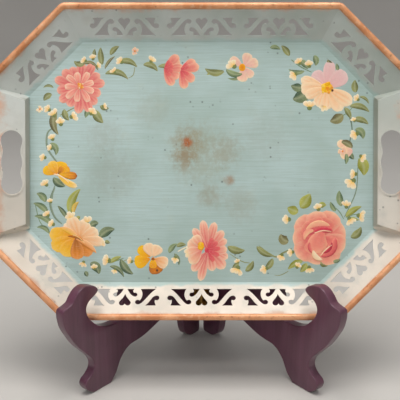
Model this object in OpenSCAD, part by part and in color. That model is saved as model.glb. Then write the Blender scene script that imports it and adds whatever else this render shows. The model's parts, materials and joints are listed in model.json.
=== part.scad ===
// Octagonal pierced-gallery tray leaning in a folding two-board display easel.
// Millimetres, +Z up, +X to the viewer's right, the viewer looks along +Y.
// The origin is on the table, under the centre of the whole object's box.

/* [Tray] */
// Length of the tray over its rim
tray_length = 508; // [440:2:620]
// Width of the tray over its rim
tray_width = 381; // [330:1:460]
// How far each corner is cut back, along the length and along the width
corner_cut = 86.5; // [78:0.5:96]
// Height of the rim's centre line above the back of the floor
wall_height = 25; // [20:0.5:30]
// Plan width of the sloping walls on the two long sides
wall_run = 42.5; // [38:0.5:50]
// Plan width of the sloping walls across the corners
corner_run = 45; // [40:0.5:52]
// Plan width of each end, from the floor to the rim's outside
end_run = 42; // [38:0.5:52]
// Thickness of the pressed sheet
sheet = 1; // [0.8:0.1:1.6]
// Outer radius of the rolled rim
rim_radius = 4; // [3:0.25:5]
// Bend radius of the rolled rim at its corners
rim_bend = 9; // [6:0.5:14]
// Height of the steep step between the floor and each end flange
step_height = 16; // [12:0.5:19]
// Plan width of that step
step_run = 2; // [1:0.5:4]

/* [Handles] */
// Length of each finger hole
handle_length = 77; // [66:1:95]
// Width of each finger hole at its ends
handle_width = 25; // [20:0.5:26]
// Depth of the two waists in a finger hole's side
handle_waist = 2.4; // [0:0.2:4]
// Width of the raised lip around each finger hole
handle_lip = 2; // [1.5:0.25:3]
// Height of that lip above the sheet
lip_rise = 1; // [0.5:0.1:2]

/* [Gallery] */
// Distance between neighbouring pierced motifs on a long side
motif_pitch = 93.5; // [88:0.5:115]
// Distance up the wall from the floor's edge to the pierced band
band_offset = 9; // [6:0.5:12]

/* [Stand] */
// Height of the stand
stand_height = 305; // [250:1:370]
// Thickness of each board
board_thickness = 12.7; // [10:0.1:16]
// Angle between each board and the stand's middle plane
splay = 37.4; // [30:0.1:45]
// How far the tray leans back from upright
lean = 14.8; // [10:0.1:20]
// Height of the rim's underside above the table
rim_rest = 90; // [75:1:110]
// Distance from the hinge pins, along a board, to the backrest line at table level
backrest_reach = 194.5; // [165:0.5:235]
// Free gap between the tray and the stand
seat_gap = 0.5; // [0.3:0.1:1.5]

/* [Hinges] */
// Height of each hinge
hinge_height = 38; // [30:1:50]
// Width of a hinge leaf from the pin's centre
leaf_width = 16; // [13:0.5:20]
// Thickness of a hinge leaf
leaf_thickness = 1.2; // [1:0.1:1.6]
// Outer radius of the knuckles
knuckle_radius = 3; // [2.5:0.1:4]
// Radius of the hinge pins
pin_radius = 1.5; // [1:0.1:1.8]
// Radial running clearance between a pin and its knuckles
pin_clearance = 0.05; // [0.03:0.01:0.1]
// Gap between moving faces of the stand
fold_gap = 0.35; // [0.3:0.05:0.6]
// Distance from the boards' lower and upper rear corners to the hinges
hinge_inset = 34; // [25:1:45]

/* [Hidden] */
$fn = 48;
steps = 8;

// Colours of the pieces
paint_colour = [0.55, 0.68, 0.66];
rim_colour = [0.82, 0.55, 0.36];
steel_colour = [0.6, 0.6, 0.6];
wood_colour = [0.24, 0.1, 0.09];
brass_colour = [0.78, 0.62, 0.3];

// Rim centre line, in the tray's own plane (x along the length, y across)
rim_x = tray_length / 2 - rim_radius;
rim_y = tray_width / 2 - rim_radius;
rim_sum = tray_length / 2 + tray_width / 2 - corner_cut - rim_radius * sqrt(2);
rim_long = [rim_sum - rim_y, rim_y, wall_height];
rim_end = [rim_x, rim_sum - rim_x, wall_height];

// Floor edge
floor_z = sheet / 2;
floor_x = tray_length / 2 - end_run;
floor_y = tray_width / 2 - wall_run;
floor_sum = tray_length / 2 + tray_width / 2 - corner_cut - corner_run * sqrt(2);
floor_long = [floor_sum - floor_y, floor_y, floor_z];
floor_end = [floor_x, floor_sum - floor_x, floor_z];

// Where the floor's own plate ends: a strip of floor stays on each wall, inside its bend
floor_strip = 1;
strip_x = floor_x - floor_strip;
strip_y = floor_y - floor_strip;
strip_sum = floor_sum - floor_strip * sqrt(2);
strip_long = [strip_sum - strip_y, strip_y];
strip_end = [strip_x, strip_sum - strip_x];

// End flange: its inner corner at the step's top, and the bend in its side
step_x = floor_x + step_run;
flange_slope = (wall_height - step_height) / (rim_x - step_x);
flange_inner = [step_x, floor_end[1] - 7.5, step_height];
knee_x = step_x + 0.78 * (rim_x - step_x);
flange_knee = [knee_x, flange_inner[1] + 9.5, step_height + flange_slope * (knee_x - step_x)];

// Normals of the sheet's sloping faces
long_normal = [0, floor_z - wall_height, rim_y - floor_y];
corner_normal = [floor_z - wall_height, floor_z - wall_height, rim_sum - floor_sum];
side_lean = [0, 0.5, -1];
inner_side_normal = -cross(flange_knee - flange_inner, side_lean);
outer_side_normal = -cross(rim_end - flange_knee, side_lean);
long_wall_slope = atan2(wall_height - floor_z, rim_y - floor_y);
corner_wall_slope = atan2(wall_height - floor_z, (rim_sum - floor_sum) / sqrt(2));

// Finger hole
handle_radius = handle_width / 2;
handle_straight = handle_length / 2 - handle_radius;
flange_length = norm([rim_x - step_x, wall_height - step_height]);
handle_along = flange_length - handle_radius - handle_lip - rim_radius - 3;

// Growth of the rolled rim at its corners, where the metal is stretched round
swell = 0.1;

// Pierced band
motif_count = floor(2 * floor_long[0] / motif_pitch);

// Tray's place in the stand: its back lies in a plane that leans back
back_at_table = backrest_reach * cos(splay);
rim_centre_z = rim_rest + rim_radius;
tray_z = rim_centre_z + rim_y * cos(lean) - wall_height * sin(lean);
tray_y = -back_at_table + tray_z * tan(lean) - seat_gap / cos(lean);
rim_centre_y = tray_y - rim_y * sin(lean) - wall_height * cos(lean);

// Board frame: u runs forward along a board from the hinge pins, z is up
board_start = knuckle_radius + 0.5;
seat_u = -rim_centre_y / cos(splay) + board_thickness * tan(splay) / 2;
function backrest_u(z) = (back_at_table - z * tan(lean)) / cos(splay);

// The whole object's box, which sets the origin
hook_front = seat_u + 56;
front_y = -hook_front * cos(splay) + fold_gap * sin(splay);
rear_y = -board_start * cos(splay) + (fold_gap + board_thickness) * sin(splay);
middle_y = (front_y + rear_y) / 2;

// Hinge places
board_top_rear = stand_height - 24;
hinge_heights = [hinge_inset, board_top_rear - hinge_inset - hinge_height];
knuckle_count = 5;
knuckle_length = hinge_height / knuckle_count;
knuckle_gap = 0.3;
leaf_start = knuckle_radius + 0.6;
pin_head = 1.2;

// Screws
screw_radius = 1.4;
screw_head_radius = 2.6;
screw_head_depth = 1.2;
screw_length = 10;
screw_slot = 0.7;
screw_u = (knuckle_radius + leaf_width) / 2 + 0.8;
screw_rise = hinge_height / 2 - 6;

// ---- Curves ----

// Points of a cubic curve from a to d, without its last point
function bend(a, b, c, d, count = steps) =
    [for (i = [0 : count - 1]) let (t = i / count, s = 1 - t)
        s * s * s * a + 3 * s * s * t * b + 3 * s * t * t * c + t * t * t * d];

// Smooth curve through every knot, with its tangents taken from the neighbours
function smooth(knots, count = 5) =
    let (last = len(knots) - 1)
    [for (i = [0 : last - 1])
        let (a = knots[max(i - 1, 0)], b = knots[i], c = knots[i + 1], d = knots[min(i + 2, last)])
        each bend(b, b + (c - a) / 6, c - (d - b) / 6, c, count)];

// Circle arc
function arc(centre, radius, from, to, count = steps) =
    [for (i = [0 : count]) let (a = from + (to - from) * i / count)
        centre + radius * [cos(a), sin(a)]];

// ---- Tray sheet ----

function unit(v) = v / norm(v);
function flip_x(p) = [-p[0], p[1], p[2]];
function flip_y(p) = [p[0], -p[1], p[2]];

module four_corners() {
    for (sx = [0, 1], sy = [0, 1])
        mirror([sx, 0, 0]) mirror([0, sy, 0]) children();
}

module two_sides() {
    for (sy = [0, 1]) mirror([0, sy, 0]) children();
}

module two_ends() {
    for (sx = [0, 1]) mirror([sx, 0, 0]) children();
}

// Everything beyond a plane, on the side that its normal points to.
// shift moves the plane along its normal.
module beyond(point, normal, shift) {
    reach = 2 * tray_length;
    n = unit(normal);
    translate(point)
        rotate([0, acos(n[2]), atan2(n[1], n[0])])
        translate([-reach, -reach, shift])
        cube([2 * reach, 2 * reach, reach]);
}

// Octagonal dish bounded by the floor and the gallery walls
module dish(shift) {
    intersection() {
        translate([-tray_length, -tray_length, floor_z + shift])
            cube([2 * tray_length, 2 * tray_length, tray_length]);
        beyond(floor_long, long_normal, shift);
        beyond(flip_y(floor_long), flip_y(long_normal), shift);
        beyond(floor_long, corner_normal, shift);
        beyond(flip_x(floor_long), flip_x(corner_normal), shift);
        beyond(flip_y(floor_long), flip_y(corner_normal), shift);
        beyond(flip_x(flip_y(floor_long)), flip_x(flip_y(corner_normal)), shift);
    }
}

// What stands under one end flange, out to the side through a point with a given normal
module flange_block(point, side_normal, shift) {
    intersection() {
        beyond(floor_end, [step_height - floor_z, 0, -step_run], shift);
        beyond(flange_inner, [flange_slope, 0, -1], shift);
        beyond(point, side_normal, shift);
        beyond(flip_y(point), flip_y(side_normal), shift);
    }
}

module flange_blocks(shift) {
    two_ends() {
        flange_block(flange_inner, inner_side_normal, shift);
        flange_block(flange_knee, outer_side_normal, shift);
    }
}

// The sheet reaches the middle of the rolled rim's wall
module rim_inside() {
    inset = rim_radius - sheet;
    eight_sided(rim_x - inset, rim_y - inset, rim_sum - inset * sqrt(2));
}

// Eight-sided prism as tall as the tray: half width, half depth, and x + y along its corners
module eight_sided(x, y, total) {
    upright([[x, total - x], [total - y, y], [y - total, y], [-x, total - x],
             [-x, x - total], [y - total, -y], [total - y, -y], [x, x - total]]);
}

// Prism as tall as the tray
module upright(outline) {
    linear_extrude(wall_height + rim_radius)
        polygon(outline);
}

module sheet_shell() {
    intersection() {
        difference() {
            dish(-sheet / 2);
            flange_blocks(sheet / 2);
            difference() {
                dish(sheet / 2);
                flange_blocks(-sheet / 2);
            }
        }
        rim_inside();
    }
}

// ---- Plates of the sheet: it is parted along its bends, seen in plan ----

function plan(p) = [p[0], p[1]];

// The point as far past b as b is from a
function past(a, b) = 2 * b - a;

ridge_far = past(strip_long, plan(rim_long));
side_far = past(plan(flange_knee), plan(rim_end));
side_line = [strip_end, plan(flange_inner), plan(flange_knee), side_far];

module long_region() {
    two_sides()
        upright([strip_long, ridge_far, [-ridge_far[0], ridge_far[1]], [-strip_long[0], strip_long[1]]]);
}

module corner_region() {
    four_corners()
        upright(concat(side_line, [[side_far[0], ridge_far[1]], ridge_far, strip_long]));
}

module end_region() {
    two_ends()
        upright(concat(side_line, [for (i = [3 : -1 : 0]) [side_line[i][0], -side_line[i][1]]]));
}

// ---- Pierced motif: x along the wall, y up the wall from the band's lower edge ----

module heart() {
    side = concat(bend([0, 6.5], [2.2, 12], [4.6, 13.5], [7, 17]), arc([3.6, 18.4], 3.6, -20, 150));
    polygon(concat(side, [[0, 19.2]], [for (i = [len(side) - 1 : -1 : 1]) [-side[i][0], side[i][1]]]));
}

module comma() {
    polygon(concat(bend([-2.2, 0], [-4.4, 4.8], [-8, 10], [-12.1, 10.4]),
                   arc([-12.1, 7.6], 2.8, 90, 290),
                   bend([-10.4, 4.6], [-9.2, 4], [-9, 2.6], [-10.6, 0], 5),
                   [[-10.6, 0]]));
}

module curl() {
    polygon(concat([[-37.8, 0]],
                   bend([-18.5, 0], [-22.4, 5], [-21.4, 12], [-17.8, 15.3]),
                   arc([-15.5, 17.4], 3.1, -139, 90),
                   bend([-16.5, 20.5], [-22.5, 20], [-26.5, 8.5], [-37.8, 0])));
}

module hook_leaf() {
    polygon(concat([[-37.8, 22]],
                   bend([-24.4, 22], [-30.5, 18.5], [-32.5, 9], [-38, 8.8]),
                   arc([-38.7, 12], 3.2, -90, -310),
                   [[-36.3, 17.5]]));
}

module motif() {
    heart();
    for (side = [0, 1])
        mirror([side, 0]) {
            comma();
            curl();
            hook_leaf();
        }
}

// Cutter for one motif, standing on the floor edge whose middle is given
module motif_cut(foot, direction, slope) {
    translate(foot)
        rotate([slope, 0, direction])
        translate([0, band_offset, -3])
        linear_extrude(6)
        motif();
}

module long_cuts() {
    two_sides()
        for (i = [0 : motif_count - 1])
            motif_cut([(i - (motif_count - 1) / 2) * motif_pitch, floor_y, floor_z], 0, long_wall_slope);
}

module corner_cuts() {
    four_corners()
        motif_cut((floor_long + floor_end) / 2, -45, corner_wall_slope);
}

// Outline of a finger hole about its centre; grow widens it all round
function handle_outline(grow = 0) =
    let (r = handle_radius + grow, half = handle_straight,
         sway = [for (i = [1 : 11]) let (t = i / 12)
                 [r - handle_waist * pow(sin(360 * t), 2), half * (1 - 2 * t)]])
    concat(arc([0, half], r, 180, 0, 16), sway, arc([0, -half], r, 0, -180, 16),
           [for (i = [len(sway) - 1 : -1 : 0]) [-sway[i][0], sway[i][1]]]);

// Raised lip round a finger hole
module handle_rim() {
    translate([step_x, 0, step_height])
        rotate([0, -atan(flange_slope), 0])
        translate([handle_along, 0, -sheet / 2])
        linear_extrude(sheet + lip_rise)
        difference() {
            polygon(handle_outline(handle_lip));
            polygon(handle_outline());
        }
}

// Puts a child drawn in the tray's own frame in its leaning place
module in_tray() {
    translate([0, tray_y - middle_y, tray_z])
        rotate([90 - lean, 0, 0])
        children();
}

module handle_cut() {
    translate([step_x, 0, step_height])
        rotate([0, -atan(flange_slope), 0])
        translate([handle_along, 0, -3])
        linear_extrude(6)
        polygon(handle_outline());
}

module tray_floor() {
    color(paint_colour)
        in_tray()
        intersection() {
            sheet_shell();
            eight_sided(strip_x, strip_y, strip_sum);
        }
}

module long_walls() {
    color(paint_colour)
        in_tray()
        difference() {
            intersection() {
                sheet_shell();
                long_region();
            }
            long_cuts();
        }
}

module corner_walls() {
    color(paint_colour)
        in_tray()
        difference() {
            intersection() {
                sheet_shell();
                corner_region();
            }
            corner_cuts();
        }
}

module end_flanges() {
    color(paint_colour)
        in_tray() {
            difference() {
                intersection() {
                    sheet_shell();
                    end_region();
                }
                two_ends() handle_cut();
            }
            two_ends() handle_rim();
        }
}

// Corners of the rim's centre line, once round, anticlockwise
rim_loop = [rim_end, rim_long, flip_x(rim_long), flip_x(rim_end),
            flip_y(flip_x(rim_end)), flip_y(flip_x(rim_long)), flip_y(rim_long), flip_y(rim_end)];
rim_tangent = rim_bend * tan(22.5);

// A bar or tube along the rim: straight lengths that run a little way into its bent corners.
// outer and inner are the radii of the straight lengths; the corners are swell thicker.
module along_rim(outer, inner = 0) {
    for (i = [0 : 7]) {
        from = rim_loop[i];
        to = rim_loop[(i + 1) % 8];
        heading = atan2(to[1] - from[1], to[0] - from[0]);
        translate(from)
            rotate([0, 0, heading]) {
                translate([rim_tangent - swell, 0, 0])
                    rotate([90, 0, 90])
                    linear_extrude(norm(to - from) - 2 * rim_tangent + 2 * swell)
                    ring(outer, inner);
                translate([rim_tangent, rim_bend, 0])
                    rotate([0, 0, -135])
                    rotate_extrude(angle = 45)
                    translate([rim_bend, 0])
                    ring(outer + swell, inner - swell);
            }
    }
}

module ring(outer, inner) {
    difference() {
        circle(r = outer);
        if (inner > 0)
            circle(r = inner);
    }
}

module rolled_rim() {
    color(rim_colour)
        in_tray()
        along_rim(rim_radius - swell, rim_radius - sheet);
}

module rim_wire() {
    color(steel_colour)
        in_tray()
        along_rim(rim_radius - sheet - 2 * swell);
}

// ---- Stand ----

// Outline of a board: rear edge, head, backrest, notch, hook, front sweep, foot, arch
function seat_point(p) = [seat_u + p[0], rim_rest + p[1]];

hook_knots = [for (p = [[-33, -13], [-24.5, -12.5], [-13, -11], [0, -6], [10, 2.5], [17, 11.5],
                        [20, 20.5], [18.5, 27], [13.5, 32], [3, 37], [0, 41.5], [4, 46.5],
                        [11, 49.5], [20.5, 51.5], [29, 49], [36, 43], [41, 37], [48, 34.5],
                        [54, 33], [56, 28], [55.5, 19], [52.5, 8], [46, -4], [37, -18]])
              seat_point(p)];
foot_knots = [[225, 57], [215.5, 46], [212, 37], [213.5, 30], [219.5, 24], [225.5, 20.5],
              [228, 15], [224.5, 7.5], [216.5, 1], [212, 0]];
arch_knots = [[186, 0], [182, 4], [176, 9.5], [172, 16.5], [167, 25], [158.5, 33], [148.5, 37.5],
              [135, 38.5], [120, 40.5], [105, 44.5], [90, 49], [73, 52.5], [57, 50.5], [45.5, 41],
              [41, 28], [38.5, 16], [34, 7], [26, 1.5], [20, 0]];
head_low = backrest_u(stand_height - 24);
head_knots = [[board_start, board_top_rear], [22, board_top_rear + 3.5], [44, stand_height - 9],
              [62, stand_height - 1.5], [76, stand_height - 0.3], [head_low - 11, stand_height - 4.5],
              [head_low - 5.5, stand_height - 12], [head_low, stand_height - 24]];

module board_profile() {
    polygon(concat(bend([board_start + 5, 0], [board_start + 2, 0], [board_start, 2], [board_start, 6]),
                   [[board_start, 6]],
                   smooth(head_knots),
                   [[head_low, stand_height - 24]],
                   smooth(concat(hook_knots, foot_knots)),
                   [[212, 0]],
                   smooth(arch_knots),
                   [[20, 0]]));
}

// Puts a child drawn in the left board's frame (x along u, y inward, z up) in its place
module left_frame() {
    translate([0, -middle_y, 0])
        rotate([0, 0, 270 - splay])
        children();
}

// Recess for a hinge leaf
module leaf_recess(low) {
    translate([0, -fold_gap - leaf_thickness, low])
        cube([leaf_width, leaf_thickness, hinge_height]);
}

module left_screws_shape(low) {
    for (rise = [-screw_rise, 0, screw_rise])
        translate([screw_u, -fold_gap, low + hinge_height / 2 + rise])
            rotate([90, 0, 0])
            union() {
                cylinder(r1 = screw_head_radius, r2 = screw_radius, h = screw_head_depth);
                cylinder(r = screw_radius, h = screw_length);
            }
}

module left_board_shape() {
    left_frame()
        difference() {
            translate([0, -fold_gap, 0])
                rotate([90, 0, 0])
                linear_extrude(board_thickness)
                board_profile();
            for (low = hinge_heights) {
                leaf_recess(low);
                left_screws_shape(low);
            }
        }
}

module left_screws() {
    left_frame()
        for (low = hinge_heights)
            difference() {
                left_screws_shape(low);
                translate([screw_u - screw_slot / 2, -fold_gap - screw_slot, low])
                    cube([screw_slot, screw_slot + 1, hinge_height]);
            }
}

// One knuckle with the strip of leaf that joins it
module knuckle(low, i) {
    bottom = low + i * knuckle_length + (i == 0 ? 0 : knuckle_gap / 2);
    top = low + (i + 1) * knuckle_length - (i == knuckle_count - 1 ? 0 : knuckle_gap / 2);
    translate([0, 0, bottom])
        cylinder(r = knuckle_radius, h = top - bottom);
    translate([0, -fold_gap - leaf_thickness, bottom])
        cube([leaf_width / 2, leaf_thickness, top - bottom]);
}

// One leaf in the left board's frame; first is 0 for the odd knuckles, 1 for the even
module leaf_shape(low, first) {
    left_frame()
        difference() {
            union() {
                translate([leaf_start, -fold_gap - leaf_thickness, low])
                    cube([leaf_width - leaf_start, leaf_thickness, hinge_height]);
                for (i = [first : 2 : knuckle_count - 1])
                    knuckle(low, i);
            }
            translate([0, 0, low - 1])
                cylinder(r = pin_radius + pin_clearance, h = hinge_height + 2);
            left_screws_shape(low);
        }
}

// Pin with a flat head at each end
module hinge_pin(low) {
    translate([0, -middle_y, low - knuckle_gap - pin_head])
        cylinder(r = pin_radius, h = hinge_height + 2 * (knuckle_gap + pin_head));
    for (z = [low - knuckle_gap - pin_head, low + hinge_height + knuckle_gap])
        translate([0, -middle_y, z])
            cylinder(r = pin_radius + 1, h = pin_head);
}

module left_board() {
    color(wood_colour) left_board_shape();
}

module right_board() {
    color(wood_colour) mirror([1, 0, 0]) left_board_shape();
}

module upper_hinge_left_leaf() {
    color(brass_colour) leaf_shape(hinge_heights[1], 0);
}

module upper_hinge_right_leaf() {
    color(brass_colour) mirror([1, 0, 0]) leaf_shape(hinge_heights[1], 1);
}

module upper_hinge_pin() {
    color(brass_colour) hinge_pin(hinge_heights[1]);
}

module lower_hinge_left_leaf() {
    color(brass_colour) leaf_shape(hinge_heights[0], 0);
}

module lower_hinge_right_leaf() {
    color(brass_colour) mirror([1, 0, 0]) leaf_shape(hinge_heights[0], 1);
}

module lower_hinge_pin() {
    color(brass_colour) hinge_pin(hinge_heights[0]);
}

module left_hinge_screws() {
    color(brass_colour) left_screws();
}

module right_hinge_screws() {
    color(brass_colour) mirror([1, 0, 0]) left_screws();
}

tray_floor();
long_walls();
corner_walls();
end_flanges();
rolled_rim();
rim_wire();
left_board();
right_board();
upper_hinge_left_leaf();
upper_hinge_right_leaf();
upper_hinge_pin();
lower_hinge_left_leaf();
lower_hinge_right_leaf();
lower_hinge_pin();
left_hinge_screws();
right_hinge_screws();
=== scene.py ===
import json
import math
import random

import bmesh
import bpy
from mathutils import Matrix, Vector


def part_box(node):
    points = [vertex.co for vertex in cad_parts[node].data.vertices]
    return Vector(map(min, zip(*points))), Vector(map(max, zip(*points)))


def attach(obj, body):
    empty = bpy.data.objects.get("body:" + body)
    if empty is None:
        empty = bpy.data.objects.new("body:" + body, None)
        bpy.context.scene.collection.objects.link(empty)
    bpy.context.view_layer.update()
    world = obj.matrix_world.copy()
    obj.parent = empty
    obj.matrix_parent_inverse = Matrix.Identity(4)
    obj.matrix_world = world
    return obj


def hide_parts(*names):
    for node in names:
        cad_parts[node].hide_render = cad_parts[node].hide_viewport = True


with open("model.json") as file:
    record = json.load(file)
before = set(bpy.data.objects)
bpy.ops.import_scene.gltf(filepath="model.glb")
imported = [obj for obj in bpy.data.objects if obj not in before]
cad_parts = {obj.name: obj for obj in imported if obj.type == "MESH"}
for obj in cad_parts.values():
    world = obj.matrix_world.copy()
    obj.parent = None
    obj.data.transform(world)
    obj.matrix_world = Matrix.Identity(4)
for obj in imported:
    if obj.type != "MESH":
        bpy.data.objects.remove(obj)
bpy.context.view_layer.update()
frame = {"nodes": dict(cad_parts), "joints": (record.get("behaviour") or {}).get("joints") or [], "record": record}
random.seed(7)

MM = 0.001

# the tray's own frame: x across, v up the tray, n out of its floor towards the viewer
LEAN = math.radians(14.8)
ACROSS = Vector((1, 0, 0))
UP_TRAY = Vector((0, math.sin(LEAN), math.cos(LEAN)))
OUT = Vector((0, -math.cos(LEAN), math.sin(LEAN)))

# the level of the floor's front face above its back face, in mm, and the middle of the back face
FLOOR_FRONT = 1.0
FLOOR_LOW, FLOOR_HIGH = (Vector(corner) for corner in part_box("tray_floor"))
FLOOR_BACK = (FLOOR_LOW + FLOOR_HIGH) / 2 - OUT * FLOOR_FRONT / 2 * MM

# how far each board stands open from the middle plane
SPLAY = next(math.radians(j["range_deg"][1]) for j in frame["joints"] if j["name"] == "stand_fold")


def in_tray(x, v, n=0.0):
    """A point of the tray's frame, given in millimetres, in the row frame."""
    return FLOOR_BACK + (ACROSS * x + UP_TRAY * v + OUT * n) * MM


def srgb(red, green, blue):
    """A colour given as eight-bit sRGB, in linear light with full alpha."""
    def linear(c):
        c = c / 255
        return c / 12.92 if c <= 0.04045 else ((c + 0.055) / 1.055) ** 2.4
    return (linear(red), linear(green), linear(blue), 1.0)


def blended(a, b, amount):
    """A colour between two colours."""
    amount = min(max(amount, 0.0), 1.0)
    return tuple(p + (q - p) * amount for p, q in zip(a, b))


# ---------------------------------------------------------------- materials

class Graph:
    """A node material with one Principled shader, and short ways to add to it."""

    def __init__(self, name):
        self.material = bpy.data.materials.new(name)
        self.material.use_nodes = True
        self.tree = self.material.node_tree
        self.tree.nodes.clear()
        self.shader = self.tree.nodes.new("ShaderNodeBsdfPrincipled")
        output = self.tree.nodes.new("ShaderNodeOutputMaterial")
        self.tree.links.new(self.shader.outputs["BSDF"], output.inputs["Surface"])

    def put(self, socket, value):
        """Links a socket into an input, or sets the input to a constant."""
        if isinstance(value, bpy.types.NodeSocket):
            self.tree.links.new(value, socket)
        else:
            socket.default_value = value

    def node(self, kind, values=None, **settings):
        """A shader node with its inputs and settings."""
        made = self.tree.nodes.new("ShaderNode" + kind)
        for key, value in settings.items():
            setattr(made, key, value)
        for socket, value in (values or {}).items():
            self.put(made.inputs[socket], value)
        return made

    def set(self, **values):
        """Inputs of the Principled shader, by name with _ for each space."""
        for name, value in values.items():
            self.put(self.shader.inputs[name.replace("_", " ")], value)

    def place(self, turn=(0, 0, 0)):
        """Object coordinates in metres, turned."""
        source = self.node("TexCoord").outputs["Object"]
        return self.node("Mapping", {"Vector": source, "Rotation": turn}).outputs[0]

    def stretched(self, vector, stretch):
        """Coordinates times a factor for each axis."""
        return self.node("Mapping", {"Vector": vector, "Scale": stretch}).outputs[0]

    def noise(self, vector, scale, detail=4.0, rough=0.55):
        """Cloudy noise from 0 to 1."""
        values = {"Vector": vector, "Scale": scale, "Detail": detail, "Roughness": rough}
        return self.node("TexNoise", values).outputs[0]

    def cells(self, vector, scale):
        """The distance to the nearest of many scattered points."""
        values = {"Vector": vector, "Scale": scale}
        return self.node("TexVoronoi", values).outputs["Distance"]

    def range(self, value, low, high, to_low=0.0, to_high=1.0):
        """A smooth step from one value to another as the input goes from low to high."""
        values = {"Value": value, "From Min": low, "From Max": high,
                  "To Min": to_low, "To Max": to_high}
        return self.node("MapRange", values, interpolation_type="SMOOTHSTEP").outputs[0]

    def mix(self, amount, a, b):
        """A colour between two colours."""
        made = self.node("Mix", data_type="RGBA")
        for index, value in ((0, amount), (6, a), (7, b)):
            self.put(made.inputs[index], value)
        return made.outputs[2]

    def calc(self, how, a, b=0.0):
        """One step of arithmetic."""
        return self.node("Math", {0: a, 1: b}, operation=how).outputs[0]

    def bump(self, height, distance, strength, under=None):
        """A normal with relief, over another one if it is given."""
        values = {"Height": height, "Distance": distance, "Strength": strength}
        if under is not None:
            values["Normal"] = under
        return self.node("Bump", values).outputs[0]


# stains on the tray's floor: x, v, reach in mm, strength, colour
STAINS = (
    (0, 10, 70, 0.42, srgb(158, 156, 128)), (-16, 24, 38, 0.6, srgb(156, 136, 100)),
    (-18, 25, 11, 1.0, srgb(176, 92, 30)), (-22, 4, 26, 0.5, srgb(150, 120, 80)),
    (30, 14, 34, 0.36, srgb(156, 142, 112)), (34, -22, 12, 0.6, srgb(160, 110, 62)),
    (10, -42, 26, 0.4, srgb(152, 132, 96)), (-110, -14, 60, 0.3, srgb(150, 150, 136)),
    (-122, 34, 44, 0.25, srgb(150, 146, 124)), (48, -52, 40, 0.28, srgb(156, 144, 116)),
    (78, 30, 60, 0.2, srgb(158, 160, 144)), (-60, 66, 44, 0.22, srgb(158, 154, 128)),
)

# levels above the back of the floor, in metres: where floor paint turns into wall paint, where
# copper overspray starts and is thickest, and the front face, which alone is stained
WALL_PAINT = (0.0020, 0.0048)
OVERSPRAY = (0.0208, 0.0252)
FRONT_FACE = (0.0005, 0.0008)

# the fold where each end's step leaves the floor, darkened with painted shade: from the middle along the tray, the
# level up to which the painted shade shows, and how far up and down the tray it reaches
FOLD_ALONG = (0.2105, 0.2122)
FOLD_LEVEL = (0.0170, 0.0150)
FOLD_REACH = (0.0800, 0.0770)


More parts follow.
